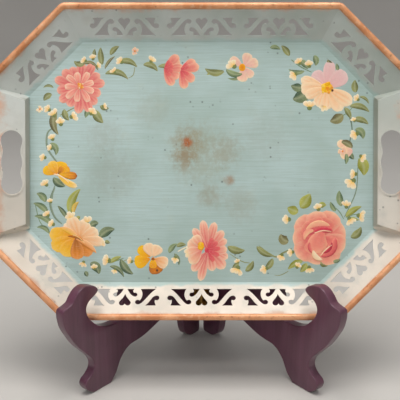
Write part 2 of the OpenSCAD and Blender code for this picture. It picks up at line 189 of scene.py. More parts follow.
def tray_paint():
    """Brushed pale blue-green floor, warm greyish-white walls with painted light low on the tray and painted shade
    high on it, painted shade in the end folds, copper overspray and wear.
    """
    g = Graph("aged_tray_paint")
    flat = g.place(turn=(LEAN, 0, 0))
    floor_level, floor_middle = FLOOR_BACK.dot(OUT), FLOOR_BACK.dot(UP_TRAY)
    parts = g.node("SeparateXYZ", {"Vector": flat})
    out = g.calc("SUBTRACT", g.calc("MULTIPLY", parts.outputs["Y"], -1.0), floor_level)
    cloud = g.noise(flat, 9.0, 3.0)
    patch = g.noise(flat, 38.0, 5.0, 0.6)
    fine = g.noise(flat, 700.0, 2.0)
    brushed = g.noise(g.stretched(flat, (20, 60, 760)), 1.0, 4.0, 0.75)

    # floor and walls, the walls greyer towards the tray's upper edge: painted light on the lower walls and painted
    # shade on the upper walls
    floor = g.mix(g.range(cloud, 0.35, 0.65), srgb(172, 193, 187), srgb(188, 209, 207))
    floor = g.mix(g.range(patch, 0.55, 0.75, 0.0, 0.35), floor, srgb(188, 200, 186))
    floor = g.mix(g.range(brushed, 0.38, 0.66, 0.0, 0.5), floor, srgb(160, 182, 172))
    lit_low_wall = g.mix(g.range(cloud, 0.35, 0.65), srgb(214, 202, 188), srgb(232, 222, 208))
    shaded_high_wall = g.mix(g.range(cloud, 0.35, 0.65), srgb(172, 182, 174), srgb(204, 210, 206))
    # painted light low on the tray fading into painted shade towards its upper edge
    wall = g.mix(g.range(parts.outputs["Z"], 0.14, 0.40), lit_low_wall, shaded_high_wall)
    wall = g.mix(g.range(patch, 0.45, 0.7, 0.0, 0.4), wall, srgb(190, 192, 184))
    ragged = g.calc("ADD", out, g.range(patch, 0.3, 0.7, -0.0012, 0.0012))
    on_wall = g.range(ragged, *WALL_PAINT)
    colour = g.mix(on_wall, floor, wall)

    # painted shade in the folds at both ends, where the steep steps face away from the light
    along = g.calc("ABSOLUTE", parts.outputs["X"])
    beside = g.calc("ABSOLUTE", g.calc("SUBTRACT", parts.outputs["Z"], floor_middle))
    fold = g.calc("MULTIPLY", g.range(along, *FOLD_ALONG), g.range(out, *FOLD_LEVEL))
    fold = g.calc("MULTIPLY", fold, g.range(beside, *FOLD_REACH))
    colour = g.mix(g.calc("MULTIPLY", fold, 0.6), colour, srgb(138, 134, 122))

    # copper overspray beside the rim
    ragged = g.calc("ADD", out, g.range(patch, 0.35, 0.7, -0.0022, 0.0014))
    colour = g.mix(g.range(ragged, *OVERSPRAY, 0.0, 0.75), colour, srgb(214, 160, 126))

    # stains, worn through in scuffs, and small dark specks
    scuff = g.noise(g.stretched(flat, (120, 1, 105)), 1.0, 8.0, 0.78)
    front = g.range(out, *FRONT_FACE)
    for x, v, reach, strength, tone in STAINS:
        centre = (x * MM, -floor_level, v * MM + floor_middle)
        away = g.node("VectorMath", {0: flat, 1: centre}, operation="DISTANCE").outputs["Value"]
        near = g.range(away, reach * 0.15 * MM, reach * MM, 1.0, 0.0)
        thin = g.calc("ADD", scuff, g.calc("MULTIPLY", near, 0.24))
        worn = g.calc("MULTIPLY", g.range(thin, 0.5, 0.8), near)
        colour = g.mix(g.calc("MULTIPLY", worn, g.calc("MULTIPLY", front, strength)), colour, tone)
    spot = g.range(g.cells(flat, 130.0), 0.10, 0.22, 1.0, 0.0)
    chosen = g.range(g.noise(flat, 46.0, 3.0), 0.56, 0.66)
    specks = g.calc("MULTIPLY", spot, chosen)
    colour = g.mix(g.calc("MULTIPLY", specks, 0.6), colour, srgb(72, 78, 74))

    height = g.calc("ADD", g.calc("MULTIPLY", brushed, 0.6), g.calc("MULTIPLY", fine, 0.25))
    normal = g.bump(height, 0.00018, 0.55, g.bump(patch, 0.0006, 0.25))
    g.set(Base_Color=colour, Roughness=g.range(patch, 0.3, 0.7, 0.4, 0.58), Normal=normal)
    g.set(Metallic=g.calc("MULTIPLY", on_wall, 0.15))
    g.set(Specular_IOR_Level=0.45, Coat_Weight=0.12, Coat_Roughness=0.3)
    return g.material


def rim_paint():
    """Copper paint on the rolled edge, uneven, rubbed pale in some places and dark in others."""
    g = Graph("worn_copper_paint")
    flat = g.place(turn=(LEAN, 0, 0))
    cloud = g.noise(flat, 30.0, 4.0)
    patch = g.noise(flat, 160.0, 4.0, 0.6)
    grain = g.noise(flat, 900.0, 2.0)
    colour = g.mix(g.range(cloud, 0.35, 0.65), srgb(210, 138, 90), srgb(240, 176, 130))
    colour = g.mix(g.range(patch, 0.52, 0.7, 0.0, 0.55), colour, srgb(236, 196, 160))
    colour = g.mix(g.range(patch, 0.42, 0.3, 0.0, 0.5), colour, srgb(150, 92, 60))
    normal = g.bump(grain, 0.0001, 0.4, g.bump(patch, 0.0005, 0.35))
    g.set(Base_Color=colour, Roughness=g.range(patch, 0.3, 0.7, 0.36, 0.55), Normal=normal)
    g.set(Metallic=0.25, Specular_IOR_Level=0.5)
    return g.material


def board_wood(turn):
    """Dark red-brown varnished wood, its grain running up the board."""
    g = Graph("dark_varnished_wood")
    flat = g.place(turn=(0, 0, turn))
    wander = g.noise(g.stretched(flat, (9, 9, 2.2)), 1.0, 3.0)
    aside = g.node("VectorMath", {0: wander, 1: (0.03, 0.03, 0.0)}, operation="MULTIPLY").outputs[0]
    bent = g.node("VectorMath", {0: flat, 1: aside}, operation="ADD").outputs[0]
    bands = g.noise(g.stretched(bent, (90, 90, 2.6)), 1.0, 5.0, 0.6)
    pores = g.noise(g.stretched(flat, (1500, 1500, 45)), 1.0, 2.0, 0.5)
    cloud = g.noise(flat, 11.0, 3.0)
    colour = g.mix(g.range(bands, 0.3, 0.75), srgb(84, 42, 62), srgb(104, 58, 80))
    colour = g.mix(g.range(cloud, 0.4, 0.7, 0.0, 0.4), colour, srgb(100, 56, 72))
    colour = g.mix(g.range(pores, 0.6, 0.78, 0.0, 0.45), colour, srgb(38, 20, 26))
    height = g.calc("SUBTRACT", g.calc("MULTIPLY", bands, 0.4), g.calc("MULTIPLY", pores, 0.5))
    g.set(Base_Color=colour, Roughness=g.range(cloud, 0.3, 0.7, 0.3, 0.42))
    g.set(Normal=g.bump(height, 0.00012, 0.5), Specular_IOR_Level=0.5)
    g.set(Coat_Weight=0.45, Coat_Roughness=0.16)
    return g.material


def aged_brass():
    """Yellow brass with brown tarnish in its hollows."""
    g = Graph("aged_brass")
    flat = g.place()
    patch = g.noise(flat, 140.0, 5.0, 0.6)
    grain = g.noise(flat, 1600.0, 2.0)
    colour = g.mix(g.range(patch, 0.42, 0.66), srgb(186, 148, 84), srgb(112, 84, 50))
    g.set(Base_Color=colour, Roughness=g.range(patch, 0.35, 0.65, 0.28, 0.5), Metallic=0.92)
    g.set(Normal=g.bump(grain, 0.00006, 0.5, g.bump(patch, 0.0002, 0.3)))
    return g.material


def steel_wire():
    """Plain drawn steel with a little rust."""
    g = Graph("drawn_steel")
    flat = g.place()
    patch = g.noise(flat, 120.0, 4.0)
    colour = g.mix(g.range(patch, 0.55, 0.7), srgb(150, 150, 150), srgb(120, 80, 58))
    g.set(Base_Color=colour, Roughness=g.range(patch, 0.4, 0.7, 0.35, 0.6), Metallic=0.85)
    g.set(Normal=g.bump(g.noise(flat, 1500.0, 2.0), 0.00005, 0.4))
    return g.material


def brush_paint():
    """Hand-painted strokes: each stroke's own colour, with bristle marks and thin spots."""
    g = Graph("hand_painted_strokes")
    flat = g.place(turn=(LEAN, 0, 0))
    own = g.node("Attribute", attribute_name="stroke_colour").outputs["Color"]
    patch = g.noise(flat, 240.0, 4.0, 0.6)
    bristle = g.noise(g.stretched(flat, (420, 60, 900)), 1.0, 3.0, 0.6)
    light = g.mix(g.range(bristle, 0.5, 0.75, 0.0, 0.12), own, srgb(255, 244, 226))
    colour = g.mix(g.range(patch, 0.5, 0.3, 0.0, 0.08), light, srgb(120, 120, 90))
    g.set(Base_Color=colour, Roughness=g.range(patch, 0.3, 0.7, 0.38, 0.55))
    g.set(Normal=g.bump(bristle, 0.00015, 0.5), Specular_IOR_Level=0.4)
    return g.material


def studio_floor():
    """A plain pale matt floor."""
    g = Graph("pale_floor")
    cloud = g.noise(g.place(), 3.0, 3.0)
    g.set(Base_Color=g.mix(cloud, srgb(206, 202, 197), srgb(214, 211, 206)))
    g.set(Roughness=0.8, Specular_IOR_Level=0.2)
    return g.material


# ---------------------------------------------------------------- painted strokes

# the wreath's colours
CORAL = srgb(232, 96, 98)
ROSE = srgb(216, 52, 78)
SALMON = srgb(250, 148, 128)
PEACH = srgb(255, 204, 156)
CREAM = srgb(255, 238, 204)
PINK = srgb(238, 176, 172)
YELLOW = srgb(255, 196, 0)
ORANGE = srgb(240, 140, 0)
RUST = srgb(150, 78, 22)
OLIVE = srgb(128, 132, 66)
BROWN_LEAF = srgb(112, 98, 56)
SAGE = srgb(104, 136, 98)
DEEP_GREEN = srgb(52, 94, 74)
LIME = srgb(172, 174, 44)
STEM = srgb(112, 134, 112)

# in mm: the lowest stroke's height above the floor, the step from layer to layer, the small step
# that keeps strokes of one layer apart, and how deep a stroke's edge is sunk into the floor
PAINT = 0.05
LAYER = 0.035
APART = 0.0004
SUNK = 0.03
# how much wider a stroke's flat top is than its evenly spaced columns would make it
SHOULDER = 1.22


class Strokes:
    """Collects thin raised brush strokes on the tray's floor into one mesh."""

    def __init__(self, name):
        self.name = name
        self.points = []
        self.faces = []
        self.smooth = []
        self.colours = []
        self.count = 0

    def stroke(self, spine, widths, colour_at, layer, columns=7):
        """One closed stroke along a spine of (x, v), with its half width at each point. Its colour
        is given at (along, across), from 0 to 1 and from -1 to 1."""
        first = len(self.points)
        rows = len(spine)
        top = FLOOR_FRONT + PAINT + LAYER * layer + APART * (self.count % 40)
        self.count += 1
        for i, (x, v) in enumerate(spine):
            before = spine[max(i - 1, 0)]
            after = spine[min(i + 1, rows - 1)]
            length = math.hypot(after[0] - before[0], after[1] - before[1]) or 1.0
            side = (-(after[1] - before[1]) / length, (after[0] - before[0]) / length)
            for j in range(columns):
                across = 2 * j / (columns - 1) - 1
                outer = j in (0, columns - 1)
                away = widths[i] * (across if outer else across * SHOULDER)
                level = FLOOR_FRONT - SUNK if outer or i in (0, rows - 1) else top
                self.points.append(in_tray(x + side[0] * away, v + side[1] * away, level))
                self.colours.append(colour_at(i / (rows - 1), across))
        for i in range(rows - 1):
            for j in range(columns - 1):
                a = first + i * columns + j
                self.faces.append((a, a + columns, a + columns + 1, a + 1))
                self.smooth.append(0 < i < rows - 2 and 0 < j < columns - 2)
        left = [first + i * columns for i in range(rows)]
        far = [first + (rows - 1) * columns + j for j in range(1, columns)]
        right = [first + i * columns + columns - 1 for i in range(rows - 2, -1, -1)]
        near = [first + j for j in range(columns - 2, 0, -1)]
        self.faces.append(tuple(reversed(left + far + right + near)))
        self.smooth.append(False)

    def build(self, material):
        """Makes the mesh, which rides on the tray."""
        mesh = bpy.data.meshes.new(self.name)
        mesh.from_pydata(self.points, [], self.faces)
        paint = mesh.color_attributes.new("stroke_colour", "FLOAT_COLOR", "POINT")
        paint.data.foreach_set("color", [c for colour in self.colours for c in colour])
        mesh.polygons.foreach_set("use_smooth", self.smooth)
        mesh.update()
        shaped = bmesh.new()
        shaped.from_mesh(mesh)
        bmesh.ops.recalc_face_normals(shaped, faces=shaped.faces)
        shaped.to_mesh(mesh)
        shaped.free()
        made = bpy.data.objects.new(self.name, mesh)
        bpy.context.scene.collection.objects.link(made)
        mesh.materials.append(material)
        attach(made, "tray")


def bow(start, end, sag, steps):
    """Points of a gentle bow from start to end, out to its left by sag at the middle."""
    dx, dv = end[0] - start[0], end[1] - start[1]
    length = math.hypot(dx, dv) or 1.0
    made = []
    for i in range(steps + 1):
        t = i / steps
        out = 4 * t * (1 - t) * sag
        made.append((start[0] + dx * t - dv / length * out, start[1] + dv * t + dx / length * out))
    return made


def petal_width(t, fullest=0.68):
    """Half width of a petal along its length, narrow at its root and round at its tip."""
    if t < fullest:
        return 0.12 + 0.88 * math.sin(math.pi / 2 * t / fullest) ** 1.1
    return max(math.sqrt(max(1 - ((t - fullest) / (1 - fullest)) ** 2, 0)), 0.03)


def petal(to, centre, angle, length, width, inner, outer, edge, layer,
          start=0.12, sag=0.0, streaks=0.35, fullest=0.68):
    """A petal from near a centre out along an angle in degrees, streaked from its inner colour to
    its outer colour and edge."""
    a = math.radians(angle)
    root = (centre[0] + math.cos(a) * length * start, centre[1] + math.sin(a) * length * start)
    tip = (centre[0] + math.cos(a) * length, centre[1] + math.sin(a) * length)
    spine = bow(root, tip, sag, 11)
    widths = [petal_width(i / 11, fullest) * width / 2 for i in range(12)]
    seed = random.uniform(0, 6.28)

    def colour_at(along, across):
        base = blended(inner, outer, along ** 0.8 * 1.1)
        rim = max(abs(across) ** 3, ((along - 0.55) / 0.45) ** 3 if along > 0.55 else 0)
        base = blended(base, edge, rim * 0.95)
        line = 0.5 + 0.5 * math.sin(across * 11 + seed)
        base = blended(base, inner, 0.3 * (1 - line) * (1 - along))
        return blended(base, edge, streaks * line * (0.25 + 0.75 * along))
    to.stroke(spine, widths, colour_at, layer, 9)


def small_flower(to, centre, petals, radius, inner, outer):
    """A ring of short petals round an orange dab."""
    for i in range(petals):
        angle = 360 * i / petals + random.uniform(-6, 6)
        length = radius * random.uniform(0.88, 1)
        petal(to, centre, angle, length, radius, inner, outer, CREAM, 4 + i % 3,
              sag=random.uniform(-1, 1))
    dot(to, centre, 1.5, ORANGE, PEACH, 8)


def dot(to, centre, radius, colour, rim, layer, squash=1.0):
    """A round dab of paint, its rim in a second colour."""
    spine = [(centre[0] - radius + 2 * radius * i / 8, centre[1]) for i in range(9)]
    widths = [max(math.sqrt(max(1 - (i / 4 - 1) ** 2, 0)), 0.12) * radius * squash for i in range(9)]
    to.stroke(spine, widths, lambda u, w: blended(colour, rim, max(w * w, (2 * u - 1) ** 2)), layer)


def stamens(to, centre, radius, count, colours, layer):
    """A crowd of small dabs in a flower's middle."""
    for i in range(count):
        a = random.uniform(0, 2 * math.pi)
        r = radius * math.sqrt(random.random())
        place = (centre[0] + r * math.cos(a), centre[1] + r * math.sin(a))
        dot(to, place, radius * random.uniform(0.22, 0.36), colours[i % len(colours)],
            colours[(i + 1) % len(colours)], layer + i % 4)


def leaf(to, root, tip, width, colour, sag=0.0, layer=0):
    """A leaf pointed at both ends, one half lighter, with a pale vein."""
    spine = bow(root, tip, sag, 10)
    widths = [max(math.sin(math.pi * (i / 10) ** 0.85) ** 0.8, 0.05) * width / 2 for i in range(11)]
    dark = blended(colour, srgb(48, 56, 34), 0.45)
    pale = blended(colour, srgb(214, 216, 150), 0.34)

    def colour_at(along, across):
        base = blended(dark, pale, (across + 1) / 2 + 0.15 * math.sin(along * 7))
        return blended(base, srgb(196, 200, 160), 0.45 if abs(across) < 0.12 else 0.0)
    to.stroke(spine, widths, colour_at, layer)


def stem(to, places, width, colour, layer=0, pale=None):
    """A thin tapering line through several places."""
    spine = []
    last = len(places) - 1
    for k in range(last):
        p0, p1 = places[max(k - 1, 0)], places[k]
        p2, p3 = places[k + 1], places[min(k + 2, last)]
        for i in range(6):
            t = i / 6
            spine.append(tuple(0.5 * (2 * b + (c - a) * t + (2 * a - 5 * b + 4 * c - d) * t * t
                                      + (3 * b - a - 3 * c + d) * t ** 3)
                               for a, b, c, d in zip(p0, p1, p2, p3)))
    spine.append(places[-1])
    steps = len(spine) - 1
    widths = [width / 2 * (0.45 + 0.55 * math.sin(math.pi * (0.15 + 0.85 * i / steps)))
              for i in range(steps + 1)]
    pale = pale or blended(colour, srgb(200, 208, 180), 0.35)
    to.stroke(spine, widths, lambda u, w: blended(colour, pale, (w + 1) / 2), layer, 5)


def crease(to, root, tip, width, dark, pale, sag, layer):
    """A stroke pointed at both ends that goes from one colour to another across its width."""
    spine = bow(root, tip, sag, 12)
    widths = [max(math.sin(math.pi * i / 12) ** 0.7, 0.05) * width / 2 for i in range(13)]
    to.stroke(spine, widths, lambda u, w: blended(dark, pale, (w + 1) / 2), layer, 9)


def bud(to, centre, radius, angle):
    """A small cream bud of three dabs on a green cup."""
    a = math.radians(angle)
    cup = (centre[0] - math.cos(a) * radius * 0.9, centre[1] - math.sin(a) * radius * 0.9)
    dot(to, cup, radius * 0.55, OLIVE, SAGE, 3)
    for turn in (-42, 42, 0):
        shade = blended(CREAM, PEACH, random.uniform(0.0, 0.6))
        length = radius * random.uniform(1.35, 1.85)
        petal(to, cup, angle + turn, length, radius * random.uniform(0.8, 1.1), YELLOW, shade,
              srgb(255, 250, 232), 5 if turn == 0 else 4, 0.1)


def dahlia(to, centre):
    """The coral many-petalled flower."""
    lengths = (32, 30, 34, 31, 27, 30, 33, 29, 31, 28, 33, 34, 30, 28)
    for i, length in enumerate(lengths):
        angle = 8 + i * 360 / len(lengths)
        deep = blended(CORAL, ROSE, 0.7 if 40 < angle < 120 else 0.2)
        petal(to, centre, angle, length, 12.5, ROSE, blended(deep, SALMON, 0.35),
              blended(SALMON, CREAM, 0.55), 1 + i % 3, 0.1, random.uniform(-1.5, 1.5), 0.4)
    for i in range(9):
        angle = 20 + i * 40
        petal(to, centre, angle, 19 + 3 * (i % 2), 8.5, CORAL, SALMON, CREAM, 5 + i % 3,
              0.1, random.uniform(-1, 1), 0.5)
    dot(to, (centre[0] + 1, centre[1] + 1), 4.5, ORANGE, SALMON, 9)
    stamens(to, (centre[0] + 1, centre[1] + 1), 4.2, 9, (ORANGE, YELLOW, CREAM), 10)


def rose(to, centre):
    """The big pink rose: broad outer petals, deep folded heart and a rolled cup."""
    x, v = centre
    deep = blended(CORAL, ROSE, 0.75)
    for i in range(9):
        angle = 20 + i * 40
        petal(to, centre, angle, 34 + 3 * (i % 2), 28, ROSE, SALMON, blended(PEACH, CREAM, 0.35),
              1 + i % 3, 0.0, 0, 0.15, 0.7)
    for i in range(7):
        angle = 62 + i * 44
        heart = 0.5 if 60 < angle < 200 else 0.1
        petal(to, (x, v + 2), angle, 26 - i % 2, 21, deep, blended(SALMON, ROSE, heart),
              blended(SALMON, PEACH, 0.5), 5 + i % 3, 0.0, 0, 0.1, 0.74)
    crease(to, (x - 17, v + 3), (x + 17, v + 7), 15, deep, blended(SALMON, CORAL, 0.5), 8, 9)
    crease(to, (x - 18, v + 8), (x + 14, v + 14), 8, SALMON, PEACH, 7, 10)
    crease(to, (x - 19, v - 3), (x - 6, v + 9), 7, PEACH, SALMON, 5, 11)
    petal(to, (x + 5, v + 9), 254, 31, 25, blended(SALMON, CORAL, 0.6), SALMON, PEACH, 12,
          0.0, -3, 0.1, 0.55)
    crease(to, (x - 7, v + 7), (x + 16, v + 9), 5, ROSE, deep, 3, 13)
    crease(to, (x + 1, v - 23), (x + 19, v + 1), 11, deep, SALMON, -6, 14)
    crease(to, (x + 3, v - 19), (x + 15, v - 4), 4, srgb(178, 34, 60), deep, -4, 15)
    crease(to, (x - 8, v - 14), (x + 4, v - 27), 7, PEACH, CREAM, -4, 15)
    crease(to, (x - 12, v - 4), (x - 6, v - 20), 5, deep, SALMON, -3, 13)
    stem(to, [(x - 7, v + 6), (x + 3, v + 9), (x + 15, v + 8)], 1.6, PEACH, 16, CREAM)
    stem(to, [(x + 1, v - 22), (x + 8, v - 14), (x + 16, v - 8)], 1.6, PEACH, 16, CREAM)


def anemone(to, centre):
    """The big cream and pink flower with a yellow middle."""
    x, v = centre
    for angle, length, width in ((128, 26, 17), (82, 34, 15), (38, 31, 21), (150, 24, 12)):
        petal(to, centre, angle, length, width, PINK, srgb(236, 192, 190), srgb(244, 214, 206), 1, 0.0)
    for angle, length, width in ((160, 34, 14), (184, 33, 18), (203, 29, 14), (246, 26, 17),
                                 (268, 27, 16), (304, 34, 17), (328, 37, 18)):
        petal(to, centre, angle, length, width, blended(PEACH, ORANGE, 0.3), PEACH, CREAM,
              3 + angle % 3, 0.05, random.uniform(-1, 1), 0.6)
    dot(to, (x, v), 8.0, YELLOW, YELLOW, 7, 0.85)
    dot(to, (x + 1, v - 1), 3.6, ORANGE, YELLOW, 8)
    dot(to, (x + 7, v - 3), 1.7, srgb(70, 44, 30), RUST, 9)
    stamens(to, (x, v), 7, 8, (YELLOW, ORANGE, srgb(255, 214, 96)), 9)


def daisy(to, centre):
    """The pink ten-petalled flower at the middle of the lower edge."""
    x, v = centre
    for angle, length, width in ((4, 24, 14), (28, 27, 12), (52, 31, 13), (76, 36, 13), (100, 38, 13),
                                 (124, 33, 12), (-22, 27, 13), (-48, 31, 17), (-78, 27, 14),
                                 (-104, 40, 13), (-126, 33, 14)):
        petal(to, (x + 3, v), angle, length, width * 0.86, ROSE, SALMON, blended(PEACH, CREAM, 0.8),
              1 + (angle // 4) % 3, 0.05, random.uniform(-1, 1), 0.5)
    for angle, length in ((158, 21), (128, 20), (196, 21), (228, 25)):
        petal(to, (x - 3, v + 2), angle, length, 14, CORAL, blended(PEACH, SALMON, 0.3), CREAM,
              6 + angle % 2, 0.1)
    for angle in (-60, -25, 8, 38, 66):
        petal(to, (x + 2, v), angle, 17, 6, ROSE, CORAL, blended(SALMON, CORAL, 0.5), 6, 0.1)
    dot(to, (x + 2, v), 3.4, ROSE, CORAL, 5)
    dot(to, (x - 6, v + 5), 4.6, YELLOW, ORANGE, 9, 1.3)
    stamens(to, (x - 6, v + 5), 4, 7, (YELLOW, ORANGE, srgb(250, 210, 90)), 10)


def poppy(to, centre):
    """The large yellow flower with peach front petals."""
    x, v = centre
    for angle, length, width, root, colour in (
            (172, 33, 19, ORANGE, YELLOW), (205, 32, 20, ORANGE, YELLOW), (238, 27, 21, ORANGE, YELLOW),
            (275, 27, 18, RUST, ORANGE), (318, 29, 17, RUST, ORANGE)):
        petal(to, (x - 2, v), angle, length, width, root, colour, blended(colour, CREAM, 0.25),
              1 + angle % 3, 0.0, random.uniform(-2, 2), 0.3)
    for angle, length, width in ((112, 29, 19), (138, 26, 12), (66, 23, 20), (24, 25, 18), (-10, 31, 15)):
        petal(to, (x + 3, v), angle, length, width * 0.9, blended(PEACH, ORANGE, 0.7), PEACH, CREAM,
              5 + angle % 3, 0.05, random.uniform(-1, 1), 0.5)
    crease(to, (x - 22, v + 13), (x + 2, v - 2), 7, YELLOW, blended(PEACH, ORANGE, 0.3), 3, 10)
    crease(to, (x - 2, v - 1), (x + 24, v - 19), 7, ORANGE, PEACH, 3, 10)
    crease(to, (x - 12, v + 2), (x + 9, v - 5), 4, RUST, ORANGE, 3, 11)
    stem(to, [(x - 6, v + 4), (x + 2, v + 1), (x + 10, v - 7)], 1.4, YELLOW, 12, CREAM)


def pansy(to, centre):
    """The small yellow and peach flower with a rusty lower petal."""
    x, v = centre
    petal(to, (x, v), 142, 22, 13, ORANGE, YELLOW, YELLOW, 1)
    petal(to, (x, v), 196, 23, 17, ORANGE, YELLOW, YELLOW, 2)
    petal(to, (x, v), 290, 21, 18, RUST, ORANGE, RUST, 2, 0.0)
    petal(to, (x, v), 338, 21, 16, ORANGE, PEACH, CREAM, 3)
    petal(to, (x, v), 110, 20, 14, PEACH, PEACH, CREAM, 4)
    petal(to, (x, v), 62, 18, 15, PEACH, PEACH, CREAM, 5)
    petal(to, (x + 1, v), 270, 13, 10, YELLOW, ORANGE, YELLOW, 5, 0.0)
    dot(to, (x + 1, v - 1), 2.2, RUST, ORANGE, 7)
    dot(to, (x + 6, v - 15), 1.6, srgb(90, 52, 30), RUST, 7)


def marigold(to, centre):
    """The small yellow-orange flower seen from the side, over its green cup."""
    x, v = centre
    petal(to, (x - 3, v - 4), 156, 17, 12, ORANGE, YELLOW, YELLOW, 2, 0.0)
    petal(to, (x + 2, v - 5), 84, 17, 17, ORANGE, YELLOW, YELLOW, 1, 0.0)
    petal(to, (x + 2, v - 5), 40, 15, 11, ORANGE, YELLOW, ORANGE, 2, 0.0)
    petal(to, (x - 2, v - 4), -6, 26, 10, YELLOW, ORANGE, RUST, 3, 0.1)
    petal(to, (x - 3, v - 4), -30, 31, 8, YELLOW, YELLOW, CREAM, 4, 0.1, -2)
    petal(to, (x - 1, v - 4), 118, 18, 13, ORANGE, YELLOW, blended(YELLOW, CREAM, 0.3), 3, 0.0)
    petal(to, (x, v - 4), 58, 12, 8, RUST, ORANGE, YELLOW, 4, 0.0)
    stem(to, [(x - 6, v - 4), (x + 4, v - 7), (x + 14, v - 15)], 2.2, PEACH, 5, CREAM)
    leaf(to, (x - 6, v - 8), (x + 9, v - 19), 10, DEEP_GREEN, -2, 2)


def sprig(to, centre):
    """The two pink half-open heads side by side on the upper edge."""
    x, v = centre
    for root, angles in (((x - 22, v - 2), (-62, -30, 2, 24, 44)), ((x - 2, v - 4), (-78, -38, 12, 34))):
        for i, angle in enumerate(angles):
            petal(to, root, angle, 24 - 2 * (i % 2), 12, ROSE, blended(SALMON, CORAL, 0.3),
                  blended(PEACH, CREAM, 0.4), 1 + i % 3, 0.0, random.uniform(-1, 1), 0.35)
            petal(to, root, angle + 10, 13, 5, ROSE, CORAL, SALMON, 5, 0.0)


def half_hidden(to, centre):
    """The pale pink flower beside the upper right corner flower."""
    x, v = centre
    for angle, length, width in ((150, 20, 12), (70, 18, 13), (20, 19, 13), (262, 19, 14), (310, 17, 11)):
        petal(to, centre, angle, length, width, PINK, blended(PINK, PEACH, 0.6), CREAM, 2, 0.1)
    dot(to, (x - 2, v - 1), 4.2, ORANGE, YELLOW, 5, 1.2)


def side_flower(to, centre):
    """The pale pink flower half way up the right side."""
    for angle, length, width in ((150, 24, 11), (196, 18, 13), (170, 14, 10)):
        petal(to, centre, angle, length, width, PINK, PEACH, CREAM, 2, 0.1)


# leaves: root, tip, width, colour, sag
LEAVES = (
    ((-143, 123), (-157, 125), 8, OLIVE, 3), ((-148, 121), (-127, 113), 5, BROWN_LEAF, 6),
    ((-122, 120), (-124, 142), 8, OLIVE, 1), ((-131, 128), (-131, 140), 5, OLIVE, 1),
    ((-112, 132), (-101, 143), 7, OLIVE, 2), ((-119, 115), (-106, 131), 4, BROWN_LEAF, 2),
    ((-103, 123), (-79, 117), 8, OLIVE, 5), ((-119, 109), (-90, 102), 8, OLIVE, 6),
    ((-182, 92), (-195, 92), 3.5, OLIVE, -3), ((-184, 84), (-194, 76), 8, OLIVE, -2),
    ((-178, 65), (-176, 34), 10, BROWN_LEAF, -6), ((-169, 66), (-163, 52), 8, OLIVE, -2),
    ((-137, 68), (-143, 55), 7, SAGE, -1), ((-132, 66), (-121, 49), 11, OLIVE, -2),
    ((-125, 70), (-114, 67), 7, OLIVE, -1),
    ((-54, 118), (-26, 113), 7, OLIVE, 3), ((-72, 120), (-54, 112), 8, OLIVE, 4),
    ((28, 113), (4, 116), 9, OLIVE, 4), ((28, 111), (6, 108), 6, LIME, -2),
    ((30, 115), (52, 110), 8, SAGE, -4), ((52, 108), (32, 104), 4, SAGE, 3),
    ((84, 141), (97, 139), 6, SAGE, 2), ((108, 131), (98, 144), 8, OLIVE, -1),
    ((121, 126), (131, 115), 8, SAGE, 1), ((138, 132), (140, 119), 8, SAGE, 2),
    ((127, 113), (107, 115), 6, SAGE, 3), ((163, 116), (155, 127), 8, BROWN_LEAF, 1),
    ((168, 113), (166, 122), 5, SAGE, 0), ((190, 86), (189, 102), 9, OLIVE, 1),
    ((125, 92), (110, 95), 11, DEEP_GREEN, 1), ((131, 88), (112, 78), 17, DEEP_GREEN, 2),
    ((174, 60), (158, 51), 13, BROWN_LEAF, 2), ((194, 81), (206, 72), 4, OLIVE, 3),
    ((182, 69), (207, 62), 8, OLIVE, 4), ((186, 53), (206, 47), 8, OLIVE, 3),
    ((176, 68), (184, 54), 7, OLIVE, 1), ((189, 41), (199, 29), 10, SAGE, 4),
    ((186, 18), (171, 26), 9, BROWN_LEAF, -2), ((181, 13), (188, 4), 7, DEEP_GREEN, 0),
    ((178, 12), (178, -2), 6, SAGE, 1), ((194, 6), (200, -16), 15, LIME, 3),
    ((173, -54), (170, -34), 9, SAGE, 1), ((166, -60), (159, -48), 6, SAGE, 1),
    ((178, -67), (198, -54), 8, LIME, 2), ((180, -70), (195, -71), 5, LIME, 1),
    ((184, -92), (197, -79), 10, OLIVE, -3), ((108, -97), (98, -88), 13, BROWN_LEAF, 3),
    ((122, -56), (134, -38), 15, LIME, -1), ((120, -60), (106, -55), 12, LIME, 1),
    ((145, -55), (154, -53), 8, LIME, 2), ((126, -121), (107, -132), 8, LIME, -2),
    ((130, -124), (122, -135), 8, LIME, 1), ((146, -124), (156, -128), 9, OLIVE, 1),
    ((162, -122), (172, -119), 5, SAGE, -1),
    ((32, -103), (54, -108), 10, OLIVE, -3), ((68, -103), (90, -115), 8, OLIVE, -3),
    ((88, -118), (77, -133), 8, OLIVE, 2), ((54, -134), (64, -121), 8, OLIVE, -2),
    ((46, -124), (38, -131), 6, OLIVE, 0),
    ((-40, -112), (-30, -100), 7, SAGE, 2), ((-31, -104), (-19, -102), 6, OLIVE, 2),
    ((-34, -112), (-28, -127), 5, DEEP_GREEN, 2),
    ((-100, -119), (-84, -138), 10, DEEP_GREEN, -3), ((-114, -128), (-96, -142), 6, DEEP_GREEN, 4),
    ((-138, -124), (-127, -138), 12, DEEP_GREEN, 3), ((-144, -134), (-141, -141), 6, DEEP_GREEN, 0),
    ((-114, -124), (-99, -116), 6, LIME, 1), ((-126, -93), (-107, -82), 12, DEEP_GREEN, 3),
    ((-137, -79), (-127, -75), 9, DEEP_GREEN, 2), ((-120, -97), (-113, -99), 5, OLIVE, 0),
    ((-162, -64), (-149, -32), 11, LIME, 5), ((-158, -63), (-151, -48), 6, YELLOW, 3),
    ((-155, -70), (-150, -66), 5, LIME, 0), ((-166, -69), (-178, -53), 6, DEEP_GREEN, -1),
    ((-193, -49), (-204, -38), 9, SAGE, -3), ((-190, -63), (-208, -50), 8, SAGE, -3),
    ((-184, -78), (-207, -66), 8, SAGE, -4), ((-188, -88), (-204, -80), 6, SAGE, -4),
    ((-187, 24), (-180, 9), 8, SAGE, 4),
)

